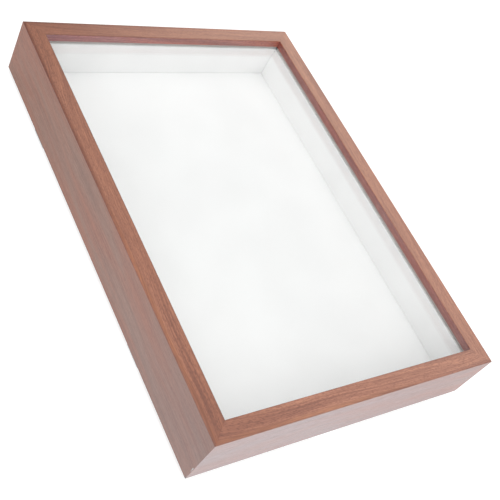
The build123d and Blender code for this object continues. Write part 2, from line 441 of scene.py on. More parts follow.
def walnut_foil():
    """Satin reddish-brown walnut foil. It follows the rail's own unrolled map."""
    settings = bpy.context.scene.case_rails
    light, mid, dark = (tuple(getattr(settings, key)) for key in ("light_wood", "mid_wood", "dark_wood"))
    material, w, shader = surface("walnut_foil")

    def stored(name, output="Fac"):
        return w.add("ShaderNodeAttribute", attribute_name=name).outputs[output]

    on_face, print_depth = stored(FACE_MASK), stored(PRINT_MASK)
    unrolled = w.add("ShaderNodeUVMap", uv_map=UNROLLED_MAP).outputs["UV"]
    figure = w.group(shared_group("Wood figure", build_wood_figure), {"Surface": unrolled})
    place = w.add("ShaderNodeSeparateXYZ", {"Vector": w.object_vector()}).outputs
    from_left = w.math("ADD", place["X"], CASE_WIDTH / 2)
    from_below = w.math("ADD", place["Y"], CASE_HEIGHT / 2)
    inwards = w.math("MINIMUM", from_left, from_below)
    reach = w.math("MAXIMUM", from_left, from_below)

    def without(mask):
        return w.math("SUBTRACT", 1.0, mask)

    def printed(amount, over, ink):
        """The ink over a colour, as deep as the print is there."""
        return w.blend(w.times(amount, print_depth), over, ink)

    def deepened(depth):
        """A depth that grows in the dark bands and in the heart."""
        in_heart = w.math("MULTIPLY_ADD", heart, MORE_IN_HEART, depth)
        return w.math("MULTIPLY_ADD", bands, MORE_IN_BANDS, in_heart)

    off_heart = w.math("ABSOLUTE", w.math("SUBTRACT", inwards, HEART_INSET))
    heart = w.times(w.step(off_heart, *HEART_HALF, 1.0, 0.0), w.step(reach, *HEART_REACH, 1.0, 0.0))
    strip = w.times(w.step(inwards, *STRIP_HALF, 1.0, 0.0), w.step(reach, *STRIP_REACH, 1.0, 0.0))
    strip = w.times(strip, on_face)

    bands = w.math("MAXIMUM", figure["Bands"], heart)
    wood = w.blend(w.times(figure["Clouds"], CLOUD_DEPTH), light, mid)
    wood = printed(w.times(bands, BAND_DEPTH), wood, mid)
    wood = printed(w.times(figure["Streaks"], deepened(STREAK_DEPTH)), wood, dark)
    wood = printed(w.times(w.times(figure["Pores"], deepened(PORE_DEPTH)), without(strip)), wood, dark)
    wood = printed(w.times(figure["Fibres"], FIBRE_DEPTH), wood, dark)
    wood = w.blend(strip, wood, BARE_STRIP, "MULTIPLY")

    # the rubbed edges are darker towards the upper left
    darker_edge_share = w.times(w.step(place["Y"], *DARKER_EDGE_UP), w.step(place["X"], *DARKER_EDGE_LEFT, 1.0, 0.0))
    wood = w.blend(stored(WEAR_MASK), wood, w.blend(darker_edge_share, BARE_EDGE, DARKER_EDGE), "MULTIPLY")
    # painted light: the face is lighter towards the right as if lit from there, and painted shade darkens
    # the left corners
    painted_light_share = w.step(place["X"], -0.5 * CASE_WIDTH, 0.5 * CASE_WIDTH)
    wood = w.blend(on_face, wood, w.blend(painted_light_share, PAINTED_LIGHT_AT_LEFT, PAINTED_LIGHT_AT_RIGHT), "MULTIPLY")
    left = w.step(place["X"], *CORNER_ACROSS, 1.0, 0.0)
    end = w.step(w.math("ABSOLUTE", place["Y"]), *CORNER_ALONG)
    wood = w.blend(w.times(w.times(left, end), on_face), wood, LEFT_CORNERS_PAINTED_SHADE, "MULTIPLY")
    wood = w.blend(w.times(without(figure["Clouds"]), without(on_face)), wood, SMOKY_TONE, "MULTIPLY")
    # each rail's tone, which also holds painted light and shade and a painted reflection on the lower outer
    # side
    wood = w.blend(1.0, wood, stored(SHADE_COLOUR, "Color"), "MULTIPLY")

    relief = w.math("MULTIPLY_ADD", figure["Pores"], PORE_RELIEF, w.times(figure["Fibres"], FIBRE_RELIEF))
    roughness = w.step(figure["Fibres"], 0.0, 1.0, *FOIL_ROUGHNESS)
    w.finish(shader, wood, roughness, relief, distance=FOIL_DEPTH, strength=0.4)
    shader.inputs["Coat Weight"].default_value = 1.0
    shader.inputs["Coat Roughness"].default_value = COAT_ROUGHNESS
    return material


# ---------------- other materials
# A soft change round the middle of a noise
SOFT_EDGE = (0.3, 0.7)
# Painted shade in the gap: its black, how far it reaches on the core and on the strips, and the share of
# that where it is full
GAP_PAINTED_SHADE = (0.010, 0.010, 0.010)
CORE_GAP_REACH = 9.0 * MM
TAPE_GAP_REACH = 3.0 * MM
GAP_FULL_SHARE = 0.8
# Grain and clouds per metre of each board and foam
CORE_SCALES = (2300.0, 55.0)
PANEL_SCALES = (1500.0, 26.0)
TAPE_SCALES = (3400.0, 120.0)
WHITE_CLOUDS = 30.0
# How each board and foam differs from its own colour: its clouds, then its dark speckle, flecks or cells
CORE_TONES = (1.22, 0.66)
PANEL_TONES = (1.3, 0.55)
TAPE_TONES = (1.15, 0.6)
WHITE_TONE = 0.965
# The noise levels between which speckle, flecks and cells come in, and how strong the faint ones get
CORE_SPECKLE_EDGE = (0.52, 0.72)
PANEL_SPECKLE = (0.45, 0.75, 0.0, 0.5)
PANEL_FLECKS = (0.60, 0.70, 0.0, 0.6)
WHITE_SPECKLE = (0.5, 0.8, 0.0, 0.6)
TAPE_CELLS_EDGE = (0.5, 0.72)
TAPE_CELLS_DEPTH = 0.5
FLECKS_PER_METRE = 480.0
CELLS_PER_METRE = 5200.0
# How rough the smoothest and the roughest parts of each are
CORE_ROUGHNESS = (0.72, 0.9)
PANEL_ROUGHNESS = (0.42, 0.6)
TAPE_ROUGHNESS = (0.75, 0.9)
WHITE_ROUGHER = 0.12
# Wiping marks of the pane
WIPE_SCALE = (16.0, 42.0, 16.0)
WIPE_EDGE = (0.55, 0.78)
WIPE_ROUGHNESS = 0.006
GLASS_INDEX = 1.5
GLASS_SHADOW = (0.985, 0.988, 0.986)
# Handling stains and rolling marks of the plated steel
STAIN_EDGE = (0.42, 0.72)
STAIN_TONE = 0.78
MARK_EDGE = (0.25, 0.75)
MARK_ROUGHER = 0.16


def mottled(name, colour, cloud_tone, grain_per_metre, clouds_per_metre):
    """A new clouded material: material, wiring, shader, place, its grain and its clouded colour."""
    material, w, shader = surface(name)
    place = w.object_vector()
    sockets = {"Surface": place, "Grain Per Metre": grain_per_metre, "Clouds Per Metre": clouds_per_metre}
    mottle = w.group(shared_group("Fine mottle", build_fine_mottle), sockets)
    tone = w.blend(w.step(mottle["Clouds"], *SOFT_EDGE), colour, toned(colour, cloud_tone))
    return material, w, shader, place, mottle["Grain"], tone


def gap_shade(w, place, tone, reach):
    """Painted shade: black in the gap that the glazing strips leave in the upper right corner."""
    upper_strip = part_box("glazing_tape_top")[0]
    right_low, right_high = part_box("glazing_tape_right")
    middle = ((right_low.x + right_high.x) / 2, (right_high.y + upper_strip.y) / 2, right_high.z)
    near = w.step(w.distance(place, middle), GAP_FULL_SHARE * reach, reach, 1.0, 0.0)
    return w.blend(near, tone, GAP_PAINTED_SHADE)


def fibre_core(name, colour):
    """Raw medium-density fibreboard with fine fibre speckle."""
    pale, dark = CORE_TONES
    material, w, shader, place, grain, tone = mottled(name, colour, pale, *CORE_SCALES)
    tone = w.blend(w.step(grain, *CORE_SPECKLE_EDGE), tone, toned(colour, dark))
    tone = gap_shade(w, place, tone, CORE_GAP_REACH)
    w.finish(shader, tone, w.step(grain, *SOFT_EDGE, *CORE_ROUGHNESS), grain, distance=0.08 * MM)
    return material


def panel_board(name, colour):
    """Smooth brown hardboard: pressed fibres that lie every way, with darker flecks."""
    pale, dark = PANEL_TONES
    material, w, shader, place, grain, tone = mottled(name, colour, pale, *PANEL_SCALES)
    flecks = w.noise(place, FLECKS_PER_METRE, detail=4.0, roughness=0.7, distortion=1.6)
    tone = w.blend(w.step(grain, *PANEL_SPECKLE), tone, toned(colour, dark))
    tone = w.blend(w.step(flecks, *PANEL_FLECKS), tone, toned(colour, dark))
    relief = w.math("ADD", grain, flecks)
    w.finish(shader, tone, w.step(grain, *SOFT_EDGE, *PANEL_ROUGHNESS), relief, distance=0.05 * MM)
    return material


def white_board(name, colour, grain_per_metre, depth, roughness):
    """White coated board or fine closed-cell foam."""
    material, w, shader, _, grain, tone = mottled(name, colour, WHITE_TONE, grain_per_metre, WHITE_CLOUDS)
    tone = w.blend(w.step(grain, *WHITE_SPECKLE), tone, toned(colour, WHITE_TONE))
    rough = w.step(grain, *SOFT_EDGE, roughness, roughness + WHITE_ROUGHER)
    w.finish(shader, tone, rough, grain, distance=depth, strength=0.4)
    return material


def foam_tape(name, colour):
    """Grey foam tape with open cells along its cut edge."""
    pale, dark = TAPE_TONES
    material, w, shader, place, grain, tone = mottled(name, colour, pale, *TAPE_SCALES)
    cells = w.step(w.noise(place, CELLS_PER_METRE, detail=1.0), *TAPE_CELLS_EDGE)
    tone = w.blend(w.times(cells, TAPE_CELLS_DEPTH), tone, toned(colour, dark))
    tone = gap_shade(w, place, tone, TAPE_GAP_REACH)
    w.finish(shader, tone, w.step(grain, *SOFT_EDGE, *TAPE_ROUGHNESS), cells, distance=0.06 * MM)
    return material


def pane_glass(name, colour):
    """Clear float glass with a trace of wiping marks. Lamps light what lies behind it."""
    material, w, shader = surface(name)
    wipes = w.noise(w.stretch(w.object_vector(), WIPE_SCALE), detail=4.0, roughness=0.6, distortion=1.4)
    w.feed(shader.inputs["Base Color"], colour)
    w.feed(shader.inputs["Roughness"], w.step(wipes, *WIPE_EDGE, 0.0, WIPE_ROUGHNESS))
    shader.inputs["Transmission Weight"].default_value = 1.0
    shader.inputs["IOR"].default_value = GLASS_INDEX
    path = w.add("ShaderNodeLightPath").outputs
    lamp_ray = w.math("MAXIMUM", path["Is Shadow Ray"], path["Is Diffuse Ray"])
    clear = w.add("ShaderNodeBsdfTransparent", {"Color": GLASS_SHADOW})
    mix = w.add("ShaderNodeMixShader", {0: lamp_ray, 1: shader.outputs[0], 2: clear.outputs[0]})
    w.show(mix.outputs[0])
    return material


def plated_steel(name, colour, roughness):
    """Plated sheet steel with rolling marks and handling stains."""
    material, w, shader = surface(name)
    plate = w.group(shared_group("Brushed plate", build_brushed_plate), {"Surface": w.object_vector()})
    tone = w.blend(w.step(plate["Stains"], *STAIN_EDGE), colour, toned(colour, STAIN_TONE))
    rough = w.step(plate["Marks"], *MARK_EDGE, roughness, roughness + MARK_ROUGHER)
    w.finish(shader, tone, rough, plate["Marks"], distance=0.02 * MM, strength=0.35)
    shader.inputs["Metallic"].default_value = 1.0
    return material


def dress(node_name, material):
    """Gives a CAD node its finish."""
    slots = frame["nodes"][node_name].data.materials
    slots.clear()
    slots.append(material)


# ---------------- mesh helpers
# Faces that meet at more than this many degrees keep a sharp edge
RAIL_SHARP = 25.0
SHELL_SHARP = 40.0
BOARD_SHARP = 50.0
DOUBLES = 0.002 * MM
NO_LENGTH = 1e-6 * MM
HOLE_SIDES = 24


def new_piece(name, mesh, materials, body, replaced):
    """Links a finished mesh as a piece that rides on a body and stands for the replaced nodes."""
    if not mesh.polygons:
        raise RuntimeError(f"{name} came out empty")
    piece = loose_object(name, mesh)
    # a mesh that was cut or grown holds its materials already
    for material in materials[len(mesh.materials) :]:
        mesh.materials.append(material)
    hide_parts(*replaced)
    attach(piece, body)
    return piece


def loose_object(name, data):
    """A new object in the scene, with nothing said about it yet."""
    thing = bpy.data.objects.new(name, data)
    bpy.context.scene.collection.objects.link(thing)
    return thing


def taken_mesh(helper, name):
    """The evaluated mesh of a helper object, as a plain mesh. The helper is deleted."""
    bpy.context.view_layer.update()
    depsgraph = bpy.context.evaluated_depsgraph_get()
    mesh = bpy.data.meshes.new_from_object(helper.evaluated_get(depsgraph))
    mesh.name = name
    bpy.data.objects.remove(helper)
    return mesh


def finished_mesh(shape, name):
    """A mesh from a bmesh, its faces pointing outwards. The bmesh is freed."""
    bmesh.ops.recalc_face_normals(shape, faces=shape.faces)
    mesh = bpy.data.meshes.new(name)
    shape.to_mesh(mesh)
    shape.free()
    return mesh


def smooth_by_angle(mesh, degrees):
    """Smooth shading, kept sharp where faces meet at more than the angle."""
    mesh.polygons.foreach_set("use_smooth", [True] * len(mesh.polygons))
    mesh.set_sharp_from_angle(angle=math.radians(degrees))


def tidy_shell(mesh):
    """Merges doubles and points the faces outwards."""
    shape = bmesh.new()
    shape.from_mesh(mesh)
    bmesh.ops.remove_doubles(shape, verts=shape.verts, dist=DOUBLES)
    bmesh.ops.recalc_face_normals(shape, faces=shape.faces)
    shape.to_mesh(mesh)
    shape.free()
    smooth_by_angle(mesh, SHELL_SHARP)


def solid_from_outline(shape, outline, low, high):
    """Adds a prism of the (x, y) outline, in order, between two heights to a bmesh."""
    lower = [shape.verts.new((x, y, low)) for x, y in outline]
    upper = [shape.verts.new((x, y, high)) for x, y in outline]
    shape.faces.new(list(reversed(lower)))
    shape.faces.new(upper)
    for i in range(len(outline)):
        j = (i + 1) % len(outline)
        shape.faces.new((lower[i], lower[j], upper[j], upper[i]))


def arc(centre, radius, start_deg, end_deg, steps):
    """Points of an arc, ends included."""
    points = []
    for i in range(steps + 1):
        angle = math.radians(start_deg + (end_deg - start_deg) * i / steps)
        points.append((centre[0] + radius * math.cos(angle), centre[1] + radius * math.sin(angle)))
    return points


def circle(centre, radius):
    """Points round a drilled or punched hole."""
    return arc(centre, radius, 0.0, 360.0 * (HOLE_SIDES - 1) / HOLE_SIDES, HOLE_SIDES - 1)


def spaced(start, end, step):
    """Evenly spaced points between two section points, both ends left out."""
    count = max(1, round(math.dist(start, end) / step))
    return [tuple(a + (b - a) * i / count for a, b in zip(start, end)) for i in range(1, count)]


def points_from_ends(low, high, inset):
    """The two points on a long box's middle line that lie the inset in from its ends."""
    middle = ((low.x + high.x) / 2, (low.y + high.y) / 2)
    if high.y - low.y > high.x - low.x:
        return [(middle[0], low.y + inset), (middle[0], high.y - inset)]
    return [(low.x + inset, middle[1]), (high.x - inset, middle[1])]


# ---------------- rails
# Each rail's foil has its own tone of the walnut, at the rail's start and at its end. Besides that tone,
# these tables hold painted light:
# painted light and shade on the faces, outer sides and lip walls that changes along each rail, and a
# painted pale, bluish reflection on the lower outer side. The rails run counter-clockwise, the bottom one
# from its left end
FACE_TONE_AND_PAINTED_LIGHT = {
    "bottom": ((1.16, 1.19, 1.21), (0.94, 0.91, 0.91)),
    "right": ((0.98, 0.97, 0.96), (1.00, 1.06, 1.05)),
    "top": ((0.93, 0.98, 1.01), (0.91, 0.88, 0.84)),
    "left": ((1.05, 1.04, 0.97), (1.10, 1.07, 1.01)),
}
FACE_PRINTS = {"bottom": 1.35, "right": 1.15, "top": 1.0, "left": 1.4}
SIDE_TONE_AND_PAINTED_LIGHT = {
    "bottom": ((0.90, 0.86, 1.24), (1.41, 1.25, 1.53)),
    "right": ((1.15, 1.15, 1.45), (1.10, 1.08, 1.26)),
    "top": ((1.10, 1.08, 1.26), (1.10, 1.02, 1.12)),
    "left": ((1.15, 1.03, 1.05), (0.79, 0.74, 0.86)),
}
LIP_TONE_AND_PAINTED_LIGHT = {
    "bottom": ((1.05, 0.92, 1.00), (1.00, 0.82, 0.90)),
    "right": ((1.00, 0.74, 0.97), (1.02, 0.44, 0.43)),
    "top": ((1.20, 0.87, 1.00), (1.35, 0.98, 1.56)),
    "left": ((1.15, 0.98, 1.10), (1.05, 0.92, 1.00)),
}
PLAIN_SHADE = (1.0, 1.0, 1.0)
# How the rounded outer edge of two rails, and their edge round the glass, differ in tone from the rest
EDGE_TONES = {
    "bottom": ((0.91, 1.02, 1.15), (0.74, 0.78, 0.82)),
    "left": ((0.97, 0.97, 0.95), (0.74, 0.76, 0.78)),
}

# The section's points lie this far apart, and an arc's this many to a quarter
SECTION_STEP = 2.0 * MM
ARC_STEPS = 6
RAIL_RINGS = 20
# How far the rubbing and the face's print go on past a rounded edge
EDGE_REACH = 0.35 * MM
FOIL_UNDER_LIP = 1.5 * MM
# How rubbed the section is at its back edge, just inside its outer edge, round the glass and under the lip
BACK_EDGE_WEAR = 0.8
OUTER_FADE_WEAR = 0.7
SIGHT_EDGE_WEAR = 0.6
LIP_EDGE_WEAR = 0.3
# How far apart the rails lie on the foil's print, in metres
PATTERN_OFFSET = 0.71
# The two rings beside a mitre's groove, in grooves from the mitre, and the wear of the groove's rings
GROOVE_RINGS = (5.0, 1.4)
GROOVE_WEAR = (0.3, 0.5)

# A crumb of foil is missing from the lower left mitre. Its pale fibre is a shade of the foil
CHIP_SHADE = (2.3, 5.0, 8.0)
CHIP_RINGS = (1.1 * MM, 0.7 * MM)
CHIP_HEIGHT = 11.3 * MM
CHIP_REACH = 1.8 * MM
CHIP_DEPTH = 0.4 * MM
CHIP_DIP = 0.45
CHIP_WIDTH = 0.08 * MM
# Painted shade: the tip of that mitre is painted dark by the back edge, where shade falls at the mitre's
# back corner
SHADED_MITRE_TIPS = (("left", 1.0), ("bottom", -1.0))
MITRE_TIP_SHADE = (0.3, 0.6, 0.95)
MITRE_TIP_SHADE_HEIGHT = 1.4 * MM
MITRE_TIP_SHADE_FADE = 0.7 * MM
MITRE_TIP_SHADE_WIDTH = 0.48 * MM

# The slots and holes in the back of the rails
NAIL_LEG = 4.2 * MM
NAIL_SHEET = 0.5 * MM
SLOT_PLAY = 0.03 * MM
SCREW_SHANK = 1.3 * MM
CUT_FROM = BACK_PLANE - 1.0 * MM


def moulding_section(settings):
    """The section as (inward, height, wear, foil) rows, round from the foil's end on the back."""
    outer, sight, cut = settings.outer_radius, settings.sight_radius, settings.back_chamfer
    side_low = (0.0, BACK_PLANE + cut)
    side_high = (0.0, FRONT_PLANE - outer)
    face_outer = (outer, FRONT_PLANE)
    face_inner = (FACE_WIDTH - sight, FRONT_PLANE)
    outer_centre = (outer, FRONT_PLANE - outer)
    sight_centre = (FACE_WIDTH - sight, FRONT_PLANE - sight)
    lip_high = (FACE_WIDTH, FRONT_PLANE - sight)
    lip_low = (FACE_WIDTH, LIP_UNDERSIDE)
    # each stretch is (points, wear, foil)
    side = spaced(side_low, side_high, SECTION_STEP)
    face = spaced(face_outer, face_inner, SECTION_STEP)
    stretches = [
        ([(settings.foil_overlap, BACK_PLANE)], 0.0, 1),
        ([(cut, BACK_PLANE), side_low], BACK_EDGE_WEAR, 1),
        ([(0.0, side_low[1] + EDGE_REACH), *side, (0.0, side_high[1] - EDGE_REACH)], 0.0, 1),
        (arc(outer_centre, outer, 180, 90, ARC_STEPS), 1.0, 1),
        ([(outer + EDGE_REACH, FRONT_PLANE)], OUTER_FADE_WEAR, 1),
        ([*face, (face_inner[0] - EDGE_REACH, FRONT_PLANE)], 0.0, 1),
        (arc(sight_centre, sight, 90, 0, ARC_STEPS), SIGHT_EDGE_WEAR, 1),
        ([(FACE_WIDTH, lip_high[1] - EDGE_REACH), *spaced(lip_high, lip_low, SECTION_STEP)], 0.0, 1),
        ([lip_low], LIP_EDGE_WEAR, 1),
        ([(FACE_WIDTH - FOIL_UNDER_LIP, LIP_UNDERSIDE)], 0.0, 0),
        ([(settings.wall, LIP_UNDERSIDE), (settings.wall, BACK_PLANE)], 0.0, 0),
    ]
    return [(*point, wear, foil) for points, wear, foil in stretches for point in points]


def shrunk(section, depth):
    """The section's points moved inwards by the depth, square to the surface."""
    points = []
    for i, (inward, height, _, _) in enumerate(section):
        before, after = section[i - 1], section[(i + 1) % len(section)]
        normal = Vector((0.0, 0.0))
        for a, b in ((before, section[i]), (section[i], after)):
            edge = Vector((b[0] - a[0], b[1] - a[1]))
            if edge.length > NO_LENGTH:
                normal += Vector((edge.y, -edge.x)).normalized()
        normal.normalize()
        points.append((inward + normal.x * depth, height + normal.y * depth))
    return points


def chip_at(side, end, height):
    """How much foil has crumbled off the mitre's outer edge: one crumb, low on the left rail."""
    if side != "left" or end < 1.0:
        return 0.0
    return max(0.0, 1.0 - abs(height - BACK_PLANE - CHIP_HEIGHT) / CHIP_REACH)


def mitre_tip_shade_at(side, end, height):
    """How much painted shade darkens the tip of a mitre: full by the back edge and none above its height.
    """
    if (side, end) not in SHADED_MITRE_TIPS:
        return 0.0
    return max(0.0, min(1.0, (BACK_PLANE + MITRE_TIP_SHADE_HEIGHT - height) / MITRE_TIP_SHADE_FADE))


def shade_at(shades, side, share):
    """The foil's tone with its painted light at a share of the rail's length. It changes faster towards the
    rail's end.
    """
    start, end = shades[side]
    return Vector(start).lerp(Vector(end), share * share)


def foil_at(side, inward, height, share, settings):
    """How far a point of the section is off the face, the foil's tone with its painted light there and its
    edge tone.
    """
    on_side = inward < FACE_WIDTH / 2
    radius = settings.outer_radius if on_side else settings.sight_radius
    off_face = min(1.0, (FRONT_PLANE - height) / (radius + EDGE_REACH))
    wall_shade = shade_at(SIDE_TONE_AND_PAINTED_LIGHT if on_side else LIP_TONE_AND_PAINTED_LIGHT, side, share)
    wall_print = settings.side_print if on_side else settings.lip_print
    shade = shade_at(FACE_TONE_AND_PAINTED_LIGHT, side, share).lerp(wall_shade, off_face)
    print_depth = FACE_PRINTS[side] + off_face * (wall_print - FACE_PRINTS[side])
    outer_edge, sight_edge = EDGE_TONES.get(side, (PLAIN_SHADE, PLAIN_SHADE))
    return off_face, shade, print_depth, Vector(outer_edge if on_side else sight_edge)


def rail_mesh(side, index, settings):
    """One mitred rail with its unrolled map, its masks and its foil's tone with its painted light."""
    length, outer_middle, along, inward_way = RAIL_PLACES[side]
    section = moulding_section(settings)
    groove = settings.mitre_groove
    girth = [0.0]
    for a, b in zip(section, section[1:]):
        girth.append(girth[-1] + math.dist(a[:2], b[:2]))
    girth.append(girth[-1] + settings.wall)

    # each ring is (place from -1 to 1, gap to the mitre, section points, wear at the mitre)
    ends = [(gap, section, 0.0) for gap in (*CHIP_RINGS, GROOVE_RINGS[0] * groove)]
    ends += [(GROOVE_RINGS[1] * groove, section, GROOVE_WEAR[0])]
    ends += [(0.0, shrunk(section, groove), GROOVE_WEAR[1])]
    rings = [(-1.0, *end) for end in reversed(ends)]
    rings += [(2 * i / RAIL_RINGS - 1, CHIP_RINGS[0], section, 0.0) for i in range(1, RAIL_RINGS)]
    rings += [(1.0, *end) for end in ends]

    shape = bmesh.new()
    masks = (WEAR_MASK, FACE_MASK, PRINT_MASK)
    wear_layer, face_layer, print_layer = (shape.verts.layers.float.new(name) for name in masks)
    shade_layer = shape.verts.layers.float_color.new(SHADE_COLOUR)
    uv_layer = shape.loops.layers.uv.new(UNROLLED_MAP)
    grid = []
    for place, gap, points, mitre_wear in rings:
        row = []
        for (inward, height, *_), (_, _, wear, _) in zip(points, section):
            by_mitre = gap < CHIP_RINGS[0]
            chip = chip_at(side, place, height) if by_mitre and inward < CHIP_WIDTH else 0.0
            tip_shade = mitre_tip_shade_at(side, place, height) if by_mitre and inward < MITRE_TIP_SHADE_WIDTH else 0.0
            reach = length / 2 - inward - gap
            spot = outer_middle + along * (place * reach - math.copysign(chip * CHIP_DEPTH, place))
            spot = spot + inward_way * (inward + CHIP_DIP * chip * CHIP_DEPTH)
            vertex = shape.verts.new((spot.x, spot.y, height))
            share = 0.5 + place * reach / length
            off_face, shade, print_depth, edge_tone = foil_at(side, inward, height, share, settings)
            shade *= Vector(PLAIN_SHADE).lerp(edge_tone, wear)
            # the crumb's pale fibre, and the painted shade at the mitre's tip
            shade = shade.lerp(Vector(CHIP_SHADE), chip).lerp(Vector(MITRE_TIP_SHADE), tip_shade)
            vertex[wear_layer] = max(wear, mitre_wear) * (1.0 - chip)
            vertex[face_layer] = 1.0 - off_face
            vertex[print_layer] = print_depth
            vertex[shade_layer] = (*shade, 1.0)
            row.append(vertex)
        grid.append(row)
    count = len(section)
    for ring, next_ring in zip(grid, grid[1:]):
        for i in range(count):
            j = (i + 1) % count
            face = shape.faces.new((ring[i], next_ring[i], next_ring[j], ring[j]))
            face.material_index = 0 if section[i][3] else 1
            for loop in face.loops:
                step = i if loop.vert in (ring[i], next_ring[i]) else i + 1
                run_here = (loop.vert.co - outer_middle).dot(along)
                loop[uv_layer].uv = (run_here + index * PATTERN_OFFSET, girth[step])
    for ring in (grid[0], grid[-1]):
        shape.faces.new(ring).material_index = 1
    return finished_mesh(shape, f"rail_{side}")


def hardware_cutter():
    """The slots of the corner nails and the pilot holes of the screws, as one cutting solid."""
    inset = CASE_WIDTH / 2 - CORNER_NAILS_HIGH.x
    leg, sheet, play = NAIL_LEG + SLOT_PLAY, NAIL_SHEET + SLOT_PLAY, SLOT_PLAY
    outline = [(-play, -play), (leg, -play), (leg, sheet), (sheet, sheet), (sheet, leg), (-play, leg)]
    shape = bmesh.new()
    for right in (-1, 1):
        for top in (-1, 1):
            corner = (right * (CASE_WIDTH / 2 - inset), top * (CASE_HEIGHT / 2 - inset))
            placed = [(corner[0] - right * x, corner[1] - top * y) for x, y in outline]
            solid_from_outline(shape, placed, CUT_FROM, CORNER_NAILS_HIGH.z + play)
    for hinge in HINGES:
        solid_from_outline(shape, circle(hinge["pos_m"], SCREW_SHANK), CUT_FROM, SCREW_HIGH.z)
    for face in shape.faces:
        face.material_index = 1
    return finished_mesh(shape, "hardware_cutter")


class CASE_OT_make_rails(bpy.types.Operator):
    """Makes the four mitred rails in walnut foil over a fibre core"""

    bl_idname = "case.make_rails"
    bl_label = "Make rails"

    def execute(self, context):
        settings = context.scene.case_rails
        finish = [walnut_foil(), fibre_core("fibre_core", tuple(settings.core))]
        cutter = loose_object("hardware_cutter", hardware_cutter())
        for material in finish:
            cutter.data.materials.append(material)
        for index, side in enumerate(SIDES):
            name = f"rail_{side}"
            raw = loose_object(name + "_raw", rail_mesh(side, index, settings))
            for material in finish:
                raw.data.materials.append(material)
            cut = raw.modifiers.new("slots", "BOOLEAN")
            cut.operation = "DIFFERENCE"
            cut.solver = "EXACT"
            cut.object = cutter
            mesh = taken_mesh(raw, f"walnut_{name}")
            smooth_by_angle(mesh, RAIL_SHARP)
            new_piece(f"walnut_{name}", mesh, finish, FRAME_BODY, [name])
        bpy.data.objects.remove(cutter)
        return {"FINISHED"}


class CASE_OT_dress_corner_nails(bpy.types.Operator):
    """Gives the corner nails their blued steel"""

    bl_idname = "case.dress_corner_nails"
    bl_label = "Dress corner nails"

    def execute(self, context):
        blued = tuple(context.scene.case_back.blued)
        dress("corner_v_nails", plated_steel("blued_steel", blued, roughness=0.38))
        return {"FINISHED"}


# ---------------- glazing and lining
class CASE_OT_dress_glazing(bpy.types.Operator):
    """Gives the pane its clear glass and the strips under the lip their grey foam"""

    bl_idname = "case.dress_glazing"
    bl_label = "Dress glazing"

    def execute(self, context):
        settings = context.scene.case_glazing
        dress("glass_pane", pane_glass("pane_glass", tuple(settings.glass)))
        tape = foam_tape("glazing_tape", tuple(settings.tape))
        for side in SIDES:
            dress(f"glazing_tape_{side}", tape)
        return {"FINISHED"}


# Grain per metre, its depth, and the roughness of the smoothest parts
BOARD_GRAIN = (1800.0, 0.04 * MM, 0.42)
FOAM_GRAIN = (3000.0, 0.07 * MM, 0.7)


def eased_board(node, material, body, radius):
    """A white board in the place of its node, its edges rounded."""
    low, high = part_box(node)
    shape = bmesh.new()
    outline = [(low.x, low.y), (high.x, low.y), (high.x, high.y), (low.x, high.y)]
    solid_from_outline(shape, outline, low.z, high.z)
    bmesh.ops.bevel(shape, geom=list(shape.edges), offset=radius, segments=3, profile=0.5, affect="EDGES")
    name = f"white_{node}"
    mesh = finished_mesh(shape, name)
    smooth_by_angle(mesh, BOARD_SHARP)
    return new_piece(name, mesh, [material], body, [node])


class CASE_OT_make_lining(bpy.types.Operator):
    """Makes the four white spacer boards and the pinning foam"""

    bl_idname = "case.make_lining"
    bl_label = "Make lining"

    def execute(self, context):
        settings = context.scene.case_lining
        board = white_board("spacer_board", tuple(settings.board), *BOARD_GRAIN)
        foam = white_board("pinning_foam", tuple(settings.foam), *FOAM_GRAIN)
        for side in SIDES:
            eased_board(f"spacer_{side}", board, FRAME_BODY, settings.edge_radius)
        eased_board("pinning_foam", foam, BACK_BODY, settings.edge_radius)
        return {"FINISHED"}


# ---------------- back
class CASE_OT_dress_back(bpy.types.Operator):
    """Gives the back panel its hardboard and the hangers their brass plating"""

    bl_idname = "case.dress_back"
    bl_label = "Dress back"

    def execute(self, context):
        settings = context.scene.case_back
        dress("back_panel", panel_board("back_board", tuple(settings.panel)))
        brass = plated_steel("brass_plate", tuple(settings.brass), roughness=0.24)
        for node in HANGERS:
            dress(node, brass)
        return {"FINISHED"}


BUTTON_END_STEPS = 14


def turn_button_mesh(hinge, settings):
    """A punched, rounded strip with one hole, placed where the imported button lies."""
    name = hinge["child"]
    low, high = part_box(name)
    half = min(high.x - low.x, high.y - low.y) / 2
    rounding = settings.button_rounding
    curve = bpy.data.curves.new(name, "CURVE")
    curve.dimensions = "2D"
    curve.fill_mode = "BOTH"
    curve.extrude = settings.button_thickness / 2 - rounding
    curve.bevel_depth = rounding
    curve.bevel_resolution = 2
    # a lying button's first end is its left one and an upright button's is its lower one
    first = 180 if high.y - low.y > high.x - low.x else 90
    outline = []
    for turn, end in enumerate(points_from_ends(low, high, half)):
        outline += arc(end, half - rounding, first + 180 * turn, first + 180 * (turn + 1), BUTTON_END_STEPS)
    for points in (outline, circle(hinge["pos_m"], settings.button_hole + rounding)):
        spline = curve.splines.new("POLY")
        spline.points.add(len(points) - 1)
        for target, (x, y) in zip(spline.points, points):
            target.co = (x, y, 0.0, 1.0)
        spline.use_cyclic_u = True
    mesh = taken_mesh(loose_object(name + "_outline", curve), f"zinc_{name}")
    for vertex in mesh.vertices:
        vertex.co.z += (low.z + high.z) / 2
    tidy_shell(mesh)
    return mesh


